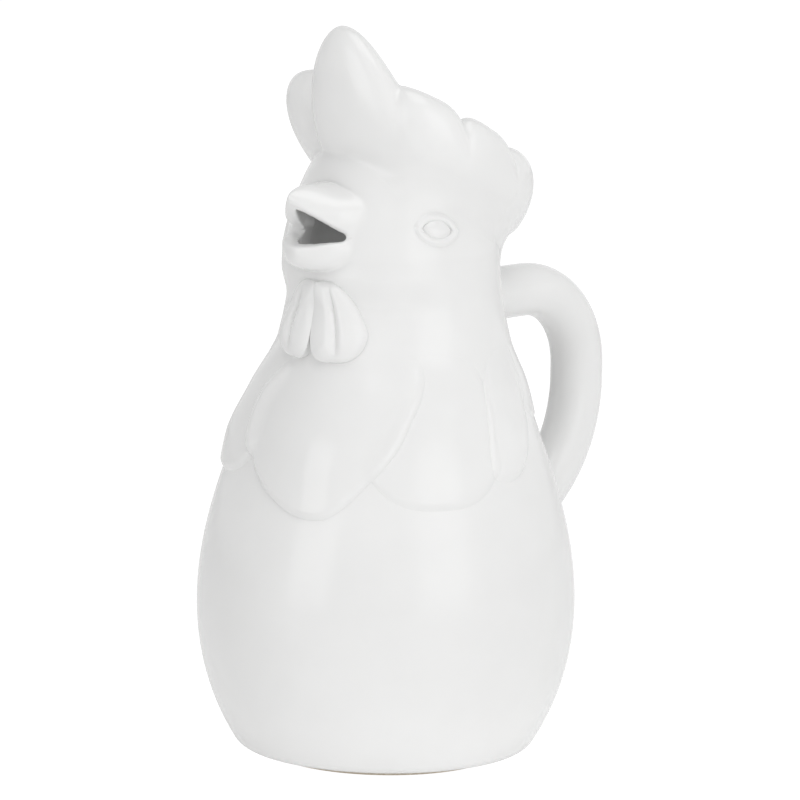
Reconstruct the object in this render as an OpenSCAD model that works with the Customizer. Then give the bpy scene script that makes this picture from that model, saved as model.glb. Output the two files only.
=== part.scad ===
// Chicken pitcher in glazed ceramic, 270 mm tall, as the formed clay pieces that are luted
// together before the glaze firing. Millimetres, +Z up. The bird faces -Y, its left side is
// +X and the handle is at +Y. The origin is the middle of the foot's resting face, on the
// axis of the thrown body.

/* [Vessel] */
// Radius of the belly at its widest
belly_r = 69; // [62:0.5:76]
// Height of the widest part of the belly
belly_z = 56; // [54:1:66]
// Half height of the ellipse that the belly follows below its widest part
belly_drop = 83; // [80:1:100]
// Radius of the neck
neck_r = 39.4; // [37:0.2:43]
// Height at which the neck ends and the dome of the head starts
neck_z = 186; // [181:1:189]
// Height over which the dome of the head would close
head_rise = 55; // [52:1:60]
// Thickness of the wall
wall = 4.5; // [3.5:0.25:6]
// Thickness of the floor
floor_t = 6; // [4:0.5:9]
// Radius of the round lower edge of the body
edge_r = 7; // [4:0.5:8]
// Height at which the neck is joined to the body
joint_z = 150; // [148:0.5:152]

/* [Foot] */
// Outer radius of the unglazed foot ring
foot_r = 43; // [38:0.5:46]
// Width of the foot ring
foot_w = 5.5; // [4:0.5:8]
// Height of the foot ring
foot_h = 2.5; // [1.5:0.25:4]

/* [Comb] */
// Height of the line where the comb meets the head, at the axis
crown_z = 209.5; // [206:0.5:212]
// Rise of that line towards the beak, as a slope
crown_slope = 0.5; // [0.44:0.01:0.56]
// How far the comb's own middle lies behind the axis
crown_back = 7; // [6:0.5:8]
// Height of the line of the comb's tops, at the axis
tops_z = 237.5; // [232.5:0.5:242.5]
// Rise of the line of the tops towards the beak, as a slope
tops_slope = 0.54; // [0.46:0.02:0.6]
// How much higher the front lobe stands than the line of the tops
front_rise = 16; // [11:0.5:21]
// How much lower the rear lobe is than the line of the tops
rear_drop = 9; // [5:0.5:12]
// Depth of the creases between the lobes
crease = 4; // [2:0.5:6]
// Radius of the filling mouth inside the comb
mouth_r = 27.5; // [25:0.5:29]
// Radius of the comb's outside at its side lobes
comb_r = 46.5; // [44:0.5:49]

/* [Beak] */
// Height of the corners of the open beak
corner_z = 194; // [192:0.5:196]
// How far the upper beak's tip stands out from the neck
upper_reach = 14.6; // [11.6:0.5:16.6]
// How far the upper beak's tip lies above the corners
upper_tip_rise = 14.5; // [13:0.5:16]
// How far the ridge along the upper beak lies above the corners
ridge_rise = 18; // [17:0.5:20]
// How far the lower beak's tip stands out from the neck
lower_reach = 11.1; // [7.6:0.5:12.6]
// How far the lower beak's underside lies below the corners
chin_drop = 13.5; // [11:0.5:15]
// Half width of the beak where it leaves the head
beak_half_w = 18; // [16:0.5:20]
// Thickness of the beak's walls
beak_wall = 3.6; // [3:0.1:4.2]

/* [Wattles] */
// How far the wattles' top lies below the beak's underside
wattle_gap = 1; // [0.5:0.5:4]
// Length of the wattles
wattle_drop = 30.5; // [28.5:0.5:34.5]
// Thickness of a wattle at its fullest
wattle_t = 6; // [4:0.25:8]

/* [Eyes] */
// Height of the eyes
eye_z = 197; // [194:0.5:199]
// Width of an eye inside its lids
eye_w = 11; // [9:0.5:12]
// Width over the lids
lid_w = 18; // [15:0.5:19]
// Thickness of the lids
lid_t = 2.4; // [1.8:0.2:3]

/* [Feathers] */
// Thickness of the fullest feathers of the cape
feather_t = 4.2; // [3:0.2:5.5]
// Thickness of a feather at its rim
rim_t = 1.5; // [1:0.1:2]

/* [Handle] */
// Diameter of the handle's round section
handle_d = 19.5; // [16:0.5:21]
// Height of the middle of the handle's upper arm
handle_top_z = 163.5; // [162:0.5:168]
// Height of the middle of the handle's straight back
handle_back_z = 130; // [124:1:133]
// Length of the handle's straight back
handle_back_l = 5; // [2:0.5:9]
// How far the handle reaches behind the axis
handle_reach = 111; // [103:0.5:115]
// Radius of the handle's lower sweep, at the middle of its section
handle_sweep_r = 53; // [48:1:58]

/* [Hidden] */
$fn = 180;

// Reach of a cut past the piece that it cuts
over = 2 * belly_r;
// How deep a relief is rooted in the wall before the wall is cut out of it
root = wall / 2;
// Steps of the outline from the foot to the dome, and of its round lower edge
rise_steps = 46;
arc_steps = 6;
// Share of the dome that is drawn, which ends above the comb's line
dome_share = 0.92;
dome_bend = 1.36;
dome_z = neck_z + head_rise * dome_share;
crown_tilt = atan(crown_slope);

glaze = "white";
clay = "wheat";

function mix(a, b, t) = a + (b - a) * t;

// The body's outline: an ellipse below the belly, a cosine to the neck, and a pointed dome
function out_r(z) =
    z < belly_z ? belly_r * sqrt(1 - pow((belly_z - z) / belly_drop, 2))
    : z < neck_z ? neck_r + (belly_r - neck_r)
        * (1 + cos(180 * (z - belly_z) / (neck_z - belly_z))) / 2
    : neck_r * sqrt(1 - pow((z - neck_z) / head_rise, dome_bend));

// How far the outline leans outwards at a height, in degrees
function lean(z) = let (dz = wall / 20) atan((out_r(z + dz) - out_r(z - dz)) / (2 * dz));

// The outline moved inwards by a thickness
function side_r(z, t) = out_r(z) - t / cos(lean(z));

// The round lower edge and the rise to the dome, from a base at a height
function edge_top_z(base_z, r) = base_z + r * (1 - sin(lean(base_z + r / 2)));
function round_edge(t, base_z, r) =
    let (tilt = lean(base_z + r / 2), z = edge_top_z(base_z, r))
    let (mid_r = side_r(z, t) - r * cos(tilt), mid_z = z + r * sin(tilt))
    [for (i = [0 : arc_steps])
        let (a = -90 + (90 - tilt) * i / arc_steps)
        [mid_r + r * cos(a), mid_z + r * sin(a)]];
function rise(t, base_z, r) =
    let (z = edge_top_z(base_z, r))
    [for (i = [1 : rise_steps])
        let (h = mix(z, dome_z, i / rise_steps))
        [side_r(h, t), h]];
function outline(t, base_z, r) =
    concat([[0, base_z]], round_edge(t, base_z, r), rise(t, base_z, r), [[0, dome_z]]);

// The vessel as if it were solid
module core() {
    rotate_extrude() polygon(outline(0, foot_h, edge_r));
}

// The space inside the vessel
module cavity() {
    rotate_extrude() polygon(outline(wall, foot_h + floor_t, 2 * edge_r));
}

module above_joint() {
    translate([-over, -over, joint_z]) cube(2 * over);
}

// Everything over the sloping line on which the comb stands
module above_crown() {
    translate([0, 0, crown_z]) rotate([-crown_tilt, 0, 0]) translate([-over, -over, 0]) cube(2 * over);
}

// The solid that the comb, beak and face are fitted to
module head_core() {
    difference() {
        core();
        above_crown();
    }
}

module foot_ring() {
    color(clay) difference() {
        union() {
            cylinder(r1 = foot_r - foot_h / 2, r2 = foot_r, h = foot_h / 2);
            translate([0, 0, foot_h / 2]) cylinder(r = foot_r, h = foot_h / 2);
        }
        translate([0, 0, -foot_h]) cylinder(r = foot_r - foot_w, h = 3 * foot_h);
    }
}

module body_shell() {
    color(glaze) difference() {
        core();
        cavity();
        above_joint();
    }
}

module neck_shell() {
    color(glaze) difference() {
        intersection() {
            core();
            above_joint();
        }
        above_crown();
        cavity();
        pouring_channel();
    }
}

// The beak's forms are stretched over three round sections, from the head to the tip
beak_base_share = 0.76;
upper_mid_share = 0.52;
upper_mid_width_share = 0.7;
lower_mid_share = 0.58;
lower_mid_width_share = 0.74;
lower_tip_rise_share = 0.48;
tip_share = 0.66;
// The lower tip's width, depth and height, as shares of its radius
lower_tip_shares = [1.8, 1.4, 1.3];
upper_tip_f = neck_r + upper_reach;
lower_tip_f = neck_r + lower_reach;
upper_tip_z = corner_z + upper_tip_rise;
ridge_z = corner_z + ridge_rise;
chin_z = corner_z - chin_drop;
beak_base_f = neck_r * beak_base_share;
beak_tip_r = beak_wall * tip_share;

module section(f, low_z, high_z, half_w, depth) {
    translate([0, -f, (low_z + high_z) / 2])
        scale([half_w, depth, (high_z - low_z) / 2]) sphere(1, $fn = 20);
}

// The upper beak, or with t above zero the space inside its walls, which opens into the lower one
module upper_form(t) {
    low_z = corner_z - (ridge_z - corner_z) / 2;
    mid_f = mix(beak_base_f, upper_tip_f, upper_mid_share);
    mid_low_z = t == 0 ? corner_z + beak_wall / 2 : corner_z - t;
    hull() {
        section(beak_base_f, low_z + t, ridge_z - t, beak_half_w - t, beak_wall * 2);
        section(mid_f, mid_low_z, ridge_z - t, beak_half_w * upper_mid_width_share - t, beak_wall);
        if (t == 0) {
            translate([0, beak_tip_r - upper_tip_f, upper_tip_z]) sphere(beak_tip_r, $fn = 16);
        } else {
            translate([0, t + beak_tip_r / 2 - upper_tip_f, upper_tip_z - beak_tip_r])
                sphere(beak_tip_r / 2, $fn = 16);
        }
    }
}

// The lower beak, or with t above zero the space inside its walls
module lower_form(t) {
    high_z = corner_z + (corner_z - chin_z) / 3;
    mid_f = mix(beak_base_f, lower_tip_f, lower_mid_share);
    mid_low_z = chin_z + beak_wall / 3;
    tip_z = mix(chin_z, corner_z, lower_tip_rise_share);
    tip_r = t == 0 ? beak_tip_r : beak_tip_r / 2;
    hull() {
        section(beak_base_f, chin_z + t, high_z, beak_half_w - t, beak_wall * 2);
        section(mid_f, mid_low_z + t, corner_z, beak_half_w * lower_mid_width_share - t, beak_wall);
        translate([0, t + lower_tip_shares[1] * tip_r - lower_tip_f, tip_z + t / 2])
            scale(lower_tip_shares) sphere(tip_r, $fn = 16);
    }
}

module pouring_channel() {
    upper_form(beak_wall);
    lower_form(beak_wall);
}

// Side view of the open beak: the lips part from the corners towards the tips
corner_share = 0.92;
corner_f = neck_r * corner_share;
upper_lip_slope = 0.74;
lower_lip_slope = -0.25;

module side_cut(slope, way) {
    rotate([0, 0, -90]) rotate([90, 0, 0]) translate([0, 0, -over]) linear_extrude(2 * over)
        polygon([
            [-over, corner_z], [corner_f, corner_z], [over, corner_z + slope * (over - corner_f)],
            [over, corner_z + way * over], [-over, corner_z + way * over]
        ]);
}

module beak_upper() {
    color(glaze) difference() {
        upper_form(0);
        side_cut(upper_lip_slope, -1);
        pouring_channel();
        head_core();
    }
}

module beak_lower() {
    color(glaze) difference() {
        lower_form(0);
        side_cut(lower_lip_slope, 1);
        pouring_channel();
        head_core();
    }
}

// A point round the vessel: 0 degrees is at the beak, 90 at the bird's left
function round_point(a, z, r) = [r * sin(a), -r * cos(a), z];

// A relief on the wall, from a middle out to an edge in rings. The edge is a list of
// [angle, height]. The proud function gives the thickness for an angle, a height and a ring share.
module relief(mid, edge, rings, proud) {
    n = len(edge);
    face_points = [for (k = [1 : rings]) for (e = edge)
        let (a = mix(mid[0], e[0], k / rings), z = mix(mid[1], e[1], k / rings))
        round_point(a, z, out_r(z) + proud(a, z, k / rings))];
    back_points = [for (e = edge) round_point(e[0], e[1], out_r(e[1]) - root)];
    points = concat(
        [round_point(mid[0], mid[1], out_r(mid[1]) + proud(mid[0], mid[1], 0))],
        face_points, back_points,
        [round_point(mid[0], mid[1], out_r(mid[1]) - root)]);
    last = len(points) - 1;
    faces = concat(
        [for (j = [0 : n - 1]) [0, 1 + j, 1 + (j + 1) % n]],
        [for (k = [0 : rings - 1]) for (j = [0 : n - 1])
            [1 + k * n + j, 1 + (k + 1) * n + j, 1 + k * n + (j + 1) % n]],
        [for (k = [0 : rings - 1]) for (j = [0 : n - 1])
            [1 + k * n + (j + 1) % n, 1 + (k + 1) * n + j, 1 + (k + 1) * n + (j + 1) % n]],
        [for (j = [0 : n - 1]) [1 + rings * n + j, last, 1 + rings * n + (j + 1) % n]]);
    polyhedron(points, faces);
}

// Half a pear hanging beside the middle line, with shallow flutes that fan out from its top. It is
// fullest near the middle line and thins out towards its outer side. The pair is turned a little
// to the bird's left.
wattle_angle = 17.5;
wattle_turn_angle = 1.5;
wattle_half_angle = 18;
wattle_full_angle = 10;
wattle_apart_angle = 0.4;
wattle_mid_share = 0.38;
wattle_in_share = 0.4;
wattle_narrow_share = 0.2;
wattle_edge_share = 0.03;
wattle_outer_share = 0.2;
wattle_outer_bend = 1.5;
wattle_flutes = 3;
wattle_flute_share = 0.1;
wattle_top_z = chin_z - wattle_gap;
wattle_low_z = wattle_top_z - wattle_drop;
wattle_mid_z = mix(wattle_low_z, wattle_top_z, wattle_mid_share);

function wattle_edge(n) =
    [for (i = [0 : n - 1])
        let (t = 360 * i / n, rise = cos(t), up = max(rise, 0))
        let (z = wattle_mid_z + (up > 0 ? wattle_top_z - wattle_mid_z : wattle_mid_z - wattle_low_z) * rise)
        let (a = wattle_angle * (1 - wattle_in_share * up)
            + wattle_half_angle * sin(t) * (1 - wattle_narrow_share * up))
        [max(a, wattle_apart_angle), z]];

function wattle_proud(a, q) =
    let (outer = max(a - wattle_full_angle, 0) / (2 * wattle_angle - wattle_full_angle))
    let (wave = cos(360 * wattle_flutes * (a - wattle_angle) / wattle_half_angle))
    let (thin = mix(1, wattle_outer_share, pow(outer, wattle_outer_bend)))
    wattle_t * sqrt(1 + wattle_edge_share - q * q) * thin * (1 + wattle_flute_share * (1 - q) * wave);

module wattle() {
    relief([wattle_angle, wattle_mid_z], wattle_edge(32), 5, function(a, z, q) wattle_proud(a, q));
}

module under_beak() {
    difference() {
        rotate([0, 0, wattle_turn_angle]) children();
        head_core();
        lower_form(0);
    }
}

module wattle_left() {
    color(glaze) under_beak() wattle();
}

module wattle_right() {
    color(glaze) under_beak() mirror([1, 0, 0]) wattle();
}

// The eyes lie on the dome, turned from the beak
eye_angle = 70;
eye_ratio = 0.7;

module at_eye() {
    rotate([0, 0, eye_angle]) translate([0, -out_r(eye_z), eye_z])
        rotate([lean(eye_z), 0, 0]) rotate([90, 0, 0]) children();
}

module eyeball() {
    at_eye() scale([eye_w / 2, eye_w * eye_ratio / 2, lid_t]) sphere(1, $fn = 48);
}

module eyelid() {
    difference() {
        at_eye() scale([1, eye_ratio, 1]) rotate_extrude($fn = 64)
            translate([(lid_w - lid_t) / 2, 0]) circle(d = lid_t, $fn = 32);
        head_core();
        eyeball();
    }
}

module eye() {
    difference() {
        eyeball();
        head_core();
    }
}

module eye_left() {
    color(glaze) eye();
}

module eye_right() {
    color(glaze) mirror([1, 0, 0]) eye();
}

module eyelid_left() {
    color(glaze) eyelid();
}

module eyelid_right() {
    color(glaze) mirror([1, 0, 0]) eyelid();
}

// The comb is a ring of eight lobes round the filling mouth, counted from the front one by the
// bird's left. A crease lies before each lobe, at an angle round the mouth.
crease_angles = [-25, 39, 75, 109, 156, 204, 250, 287];
// How deep each crease cuts into the tops, and how far it narrows the ring from inside and from
// outside, as shares of the depth of the creases
crease_depth_shares = [0.2, 0.2, 1, 1, 1, 1, 1, 1];
crease_in_shares = [0.1, 0.1, 0.3, 0.3, 0.3, 0.3, 0.3, 0.3];
crease_out_shares = [2.1, 0.6, 0.5, 0.5, 0.5, 0.5, 0.5, 0.5];
// For each lobe: where its middle lies between its creases, shares of the inner and outer radius
// at half height, the share of the neck's radius on which it stands, and its rise
lobe_mid_shares = [0.39, 0.5, 0.5, 0.5, 0.5, 0.5, 0.5, 0.5];
lobe_in_shares = [0.9, 1, 1, 1.02, 1.04, 1.02, 1, 1];
lobe_out_shares = [0.91, 1, 1, 1.06, 1.1, 1.06, 1, 1.02];
lobe_base_shares = [0.75, 0.8, 0.8, 0.8, 0.8, 0.8, 0.8, 0.7];
lobe_rises = [front_rise, 0, 0, 0, -rear_drop, 0, 0, 0];
lobe_count = len(crease_angles);
lobe_steps = 6;
section_steps = 20;

function beside(k, way) = (k + way + lobe_count) % lobe_count;
function crease_angle(k) = k < lobe_count ? crease_angles[k] : crease_angles[0] + 360;

// A lobe's own value at its middle, and the mean of the two at a crease
function blended(values, k, way, s) =
    mix(values[k], (values[k] + values[beside(k, way)]) / 2, s * s);

// One section of the comb. The place s runs from 0 at the lobe's middle to 1 at a crease.
function comb_section(k, way, s) =
    let (side = way < 0 ? k : k + 1, n = side % lobe_count)
    let (middle = mix(crease_angle(k), crease_angle(k + 1), lobe_mid_shares[k]))
    let (a = mix(middle, crease_angle(side), s))
    let (in_r = mouth_r * blended(lobe_in_shares, k, way, s) + crease * crease_in_shares[n] * pow(s, 3))
    let (out = comb_r * blended(lobe_out_shares, k, way, s) - crease * crease_out_shares[n] * pow(s, 3))
    let (base_r = neck_r * blended(lobe_base_shares, k, way, s))
    let (mid_r = (in_r + out) / 2, half_t = (out - in_r) / 2)
    let (f = mid_r * cos(a) - crown_back)
    let (low_rise = min(lobe_rises[k], lobe_rises[beside(k, way)]))
    let (high_z = tops_z + tops_slope * f + mix(low_rise, lobe_rises[k], cos(90 * s))
        - crease * crease_depth_shares[n] * pow(s, 4))
    let (low_z = crown_z + crown_slope * f - crease)
    [for (i = [0 : section_steps - 1])
        let (t = 360 * i / section_steps)
        let (up = sin(t), z = (low_z + high_z) / 2 + (high_z - low_z) / 2 * up)
        let (r = mid_r + half_t * cos(t) + (base_r - mid_r) * (1 - up) / 2)
        [r * sin(a), crown_back - r * cos(a), z]];

// A solid through sections that all have the same number of points
module loft(sections) {
    n = len(sections[0]);
    m = len(sections);
    points = [for (s = sections) for (p = s) p];
    polyhedron(points, concat(
        [[for (i = [n - 1 : -1 : 0]) i]],
        [for (k = [0 : m - 2]) for (i = [0 : n - 1])
            [k * n + i, k * n + (i + 1) % n, (k + 1) * n + i]],
        [for (k = [0 : m - 2]) for (i = [0 : n - 1])
            [k * n + (i + 1) % n, (k + 1) * n + (i + 1) % n, (k + 1) * n + i]],
        [[for (i = [0 : n - 1]) (m - 1) * n + i]]));
}

module lobe(k) {
    difference() {
        loft([for (i = [-lobe_steps : lobe_steps])
            comb_section(k, i < 0 ? -1 : 1, abs(i) / lobe_steps)]);
        head_core();
    }
}

module comb_front() {
    color(glaze) lobe(0);
}

module comb_left_1() {
    color(glaze) lobe(1);
}

module comb_left_2() {
    color(glaze) lobe(2);
}

module comb_left_3() {
    color(glaze) lobe(3);
}

module comb_right_1() {
    color(glaze) lobe(7);
}

module comb_right_2() {
    color(glaze) lobe(6);
}

module comb_right_3() {
    color(glaze) lobe(5);
}

module comb_rear() {
    color(glaze) lobe(4);
}

// The cape's feathers lie on the shoulder as overlapping tongues under the wattles
cape_z = wattle_low_z - rim_t / 4;
FEATHERS = [
    "front_left", "front_right", "side_left", "side_right",
    "flank_left", "flank_right", "rear_left", "rear_right"
];
// For each feather: the angle of its middle, half its width and how far its top is turned on
feather_angles = [14.5, -38, 62, -79, 101, -114, 140, -152];
feather_half_angles = [36, 30, 29, 29, 14.5, 17, 30, 30];
feather_lean_angles = [6, 0, 0, 0, 10, -8, 0, 0];
// How much wider it is at its top, its lowest point as a share of the joint's height, and its
// fullness as a share of the thickness
feather_flare_shares = [0.3, 0.1, 0.1, 0.1, 0.1, 0.1, 0.1, 0.1];
feather_low_shares = [0.635, 0.7, 0.665, 0.7, 0.715, 0.73, 0.83, 0.83];
feather_full_shares = [1, 1.1, 0.7, 0.7, 0.8, 0.8, 0.45, 0.45];
feather_top_share = 1.04;
// Share of the rim that is left at the top, where a feather fades into the neck
fade_share = 0.4;
edge_bend = 2.6;
// How far a feather's copy reaches out when it cuts the feathers under it
cover_t = 4 * feather_t;

function signed_pow(x, n) = sign(x) * pow(abs(x), n);
function feather_place(name) = search([name], FEATHERS)[0];
function feather_mid_z(k) = joint_z * (feather_top_share + feather_low_shares[k]) / 2;
function feather_edge(k, n) =
    let (half_z = joint_z * (feather_top_share - feather_low_shares[k]) / 2)
    [for (i = [0 : n - 1])
        let (t = 360 * i / n)
        let (side = feather_half_angles[k] * signed_pow(sin(t), 2 / edge_bend))
        let (flare = 1 + feather_flare_shares[k] * cos(t))
        [feather_angles[k] + feather_lean_angles[k] * cos(t) + side * flare,
            feather_mid_z(k) + half_z * signed_pow(cos(t), 2 / edge_bend)]];

// Thickness of a feather: fullest in its middle, and faded at its top
function feather_proud(k, z, q) =
    let (fade = min(1, max(0, (joint_z - z) / (joint_z - feather_mid_z(k)))))
    feather_full_shares[k] * mix(rim_t * fade_share, mix(feather_t, rim_t, q * q), fade);

module feather_form(k, extra) {
    relief([feather_angles[k], feather_mid_z(k)], feather_edge(k, 32), 4,
        function(a, z, q) extra + feather_proud(k, z, q));
}

// A feather without what the feathers that lie on it take away
module feather(name, covers) {
    color(glaze) difference() {
        feather_form(feather_place(name), 0);
        core();
        translate([-over, -over, cape_z]) cube(2 * over);
        for (c = covers) feather_form(feather_place(c), cover_t);
    }
}

module feather_front_left() {
    feather("front_left", []);
}

module feather_front_right() {
    feather("front_right", ["front_left"]);
}

module feather_side_left() {
    feather("side_left", ["front_left", "flank_left"]);
}

module feather_side_right() {
    feather("side_right", ["front_right", "flank_right"]);
}

module feather_flank_left() {
    feather("flank_left", []);
}

module feather_flank_right() {
    feather("flank_right", []);
}

module feather_rear_left() {
    feather("rear_left", ["flank_left"]);
}

module feather_rear_right() {
    feather("rear_right", ["flank_right", "rear_left"]);
}

// The handle: a level arm, a bend down, a short straight back and a wider sweep in to the belly
handle_mid_f = handle_reach - handle_d / 2;
handle_bend_r = handle_top_z - handle_back_z - handle_back_l / 2;
handle_sweep_angle = 80;

module handle() {
    arm_start_f = neck_r - wall;
    arm_end_f = handle_mid_f - handle_bend_r;
    color(glaze) difference() {
        union() {
            translate([0, arm_start_f, handle_top_z]) rotate([-90, 0, 0])
                cylinder(d = handle_d, h = arm_end_f - arm_start_f);
            translate([0, arm_end_f, handle_back_z + handle_back_l / 2]) rotate([90, 0, 90])
                rotate_extrude(angle = 90) translate([handle_bend_r, 0]) circle(d = handle_d, $fn = 48);
            translate([0, handle_mid_f, handle_back_z - handle_back_l / 2])
                cylinder(d = handle_d, h = handle_back_l);
            translate([0, handle_mid_f - handle_sweep_r, handle_back_z - handle_back_l / 2])
                mirror([0, 0, 1]) rotate([90, 0, 90]) rotate_extrude(angle = handle_sweep_angle)
                translate([handle_sweep_r, 0]) circle(d = handle_d, $fn = 48);
        }
        core();
    }
}

foot_ring();
body_shell();
neck_shell();
beak_upper();
beak_lower();
wattle_left();
wattle_right();
eye_left();
eye_right();
eyelid_left();
eyelid_right();
comb_front();
comb_left_1();
comb_left_2();
comb_left_3();
comb_right_1();
comb_right_2();
comb_right_3();
comb_rear();
feather_front_left();
feather_front_right();
feather_side_left();
feather_side_right();
feather_flank_left();
feather_flank_right();
feather_rear_left();
feather_rear_right();
handle();
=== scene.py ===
import bisect
import math

import bmesh
import bpy
from mathutils import Matrix, Vector


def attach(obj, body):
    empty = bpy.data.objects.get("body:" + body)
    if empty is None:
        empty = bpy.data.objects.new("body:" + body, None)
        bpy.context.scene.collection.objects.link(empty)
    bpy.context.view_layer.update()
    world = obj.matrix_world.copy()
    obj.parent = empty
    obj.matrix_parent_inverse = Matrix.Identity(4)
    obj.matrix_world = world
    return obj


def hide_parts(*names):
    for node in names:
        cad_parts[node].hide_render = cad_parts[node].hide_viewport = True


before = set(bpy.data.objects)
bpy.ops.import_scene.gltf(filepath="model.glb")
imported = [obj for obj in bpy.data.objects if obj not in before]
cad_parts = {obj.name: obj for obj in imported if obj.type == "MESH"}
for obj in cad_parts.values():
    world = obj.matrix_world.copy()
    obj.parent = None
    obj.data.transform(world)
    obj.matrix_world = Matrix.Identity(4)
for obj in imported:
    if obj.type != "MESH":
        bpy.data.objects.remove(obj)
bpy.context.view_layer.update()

# The body
# The belly and shoulder of the pitcher are thrown as one round wall with a closed floor. It is
# white-glazed earthenware, 4.5 mm thick, cut level at the height where the neck is luted on.

MM = 0.001
belly_r = 69 * MM
belly_z = 56 * MM
belly_drop = 83 * MM
neck_r = 39.4 * MM
neck_z = 186 * MM
dome_rise = 55 * MM
dome_bend = 1.36
wall_t = 4.5 * MM
floor_t = 6 * MM
foot_h = 2.5 * MM
edge_r = 7 * MM
joint_z = 150 * MM
throat_in = 3.3 * MM
throat_z = [117 * MM, 141 * MM, 167 * MM, 180 * MM]
throat_turn = [math.radians(100), math.radians(40)]
rise_step = 1.25 * MM
round_steps = 256
weld_gap = 0.002 * MM
crisp_edge = math.radians(42)
seam_agreement = 0.6
glaze_tones = [(0.80, 0.80, 0.795, 1), (0.835, 0.835, 0.83, 1)]


def mix(a, b, t):
    """A value between a and b, by the share t of b."""
    return a + (b - a) * t


def eased(value, start, end):
    """0 up to the start, 1 from the end on, and a smooth rise between them."""
    t = min(1, max(0, (value - start) / (end - start)))
    return t * t * (3 - 2 * t)


def wall_r(z):
    """Radius of the pitcher's outside at a height: an ellipse, a cosine and a pointed dome."""
    if z < belly_z:
        return belly_r * math.sqrt(max(0, 1 - ((belly_z - z) / belly_drop) ** 2))
    if z < neck_z:
        turn = math.pi * (z - belly_z) / (neck_z - belly_z)
        return neck_r + (belly_r - neck_r) * (1 + math.cos(turn)) / 2
    return neck_r * math.sqrt(max(0, 1 - ((z - neck_z) / dome_rise) ** dome_bend))


def wall_lean(z):
    """The wall's lean at a height, as an angle from upright, outwards."""
    step = 0.1 * MM
    return math.atan2(wall_r(z + step) - wall_r(z - step), 2 * step)


def inside_r(z, t=wall_t):
    """Radius of the inside at a height, for a wall of even thickness."""
    return wall_r(z) - t / math.cos(wall_lean(z))


def round_point(turn, z, r):
    """A point round the pitcher: turn 0 is at the beak, a quarter turn is the bird's left."""
    return Vector((r * math.sin(turn), -r * math.cos(turn), z))


def at_radius(co, r):
    """The point moved level to another radius."""
    k = r / math.hypot(co.x, co.y)
    return Vector((co.x * k, co.y * k, co.z))


def squeezed(co):
    """The throat is squeezed in under the head, with all that lies on it."""
    r = math.hypot(co.x, co.y)
    if not throat_z[0] < co.z < throat_z[3] or r < throat_in:
        return co
    turn = abs(math.atan2(co.x, -co.y))
    depth = throat_in * eased(co.z, throat_z[0], throat_z[1]) * eased(co.z, throat_z[3], throat_z[2])
    return at_radius(co, r - depth * eased(turn, *throat_turn) * min(1, r / neck_r))


def wall_normal(co):
    """Outward normal of the squeezed wall beside a point that isn't squeezed yet."""
    turn = math.atan2(co.x, -co.y)
    turn_step = 0.005
    rise = 0.2 * MM

    def on(a, z):
        return squeezed(round_point(a, z, wall_r(z)))
    across = on(turn + turn_step, co.z) - on(turn - turn_step, co.z)
    up = on(turn, co.z + rise) - on(turn, co.z - rise)
    return across.cross(up).normalized()


def above_wall(co):
    """How far a point stands out from the wall, level with it."""
    return math.hypot(co.x, co.y) - wall_r(co.z)


def wall_seam(co, own, reach=0.02 * MM):
    """The wall's own normal for a point that lies on the wall."""
    return wall_normal(co) if abs(above_wall(co)) < reach else None


def spun(points):
    """A profile of (radius, height) points turned once round the pitcher's axis."""
    bm = bmesh.new()
    verts = [bm.verts.new((r, 0, z)) for r, z in points]
    edges = [bm.edges.new(pair) for pair in zip(verts, verts[1:])]
    bmesh.ops.spin(bm, geom=verts + edges, cent=(0, 0, 0), axis=(0, 0, 1), angle=math.tau,
                   steps=round_steps, use_merge=True)
    bmesh.ops.remove_doubles(bm, verts=bm.verts, dist=weld_gap)
    return bm


def finished(name, node, bm, finish, seam=None, crease=crisp_edge):
    """Makes the piece from its mesh, in the place of its node. Seam gives the normal where the
    piece runs on smoothly into its neighbour, so the glaze shows no line there. A face that is
    turned well away from that normal keeps its own."""
    bmesh.ops.recalc_face_normals(bm, faces=bm.faces)
    for face in bm.faces:
        face.smooth = True
    for edge in bm.edges:
        if len(edge.link_faces) == 2 and edge.calc_face_angle(0) > crease:
            edge.smooth = False
    bm.normal_update()
    wanted = [seam(v.co, v.normal) if seam else None for v in bm.verts]
    for v in bm.verts:
        v.co = squeezed(v.co)
    mesh = bpy.data.meshes.new(name)
    bm.to_mesh(mesh)
    bm.free()
    if seam:
        normals = []
        for poly in mesh.polygons:
            for k in poly.vertices:
                n = wanted[k]
                agrees = n and n.dot(poly.normal) > seam_agreement
                normals.append(n if agrees else Vector((0, 0, 0)))
        mesh.normals_split_custom_set(normals)
    piece = bpy.data.objects.new(name, mesh)
    bpy.context.scene.collection.objects.link(piece)
    mesh.materials.append(finish)
    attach(piece, "root")
    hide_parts(node)
    return piece


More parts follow.
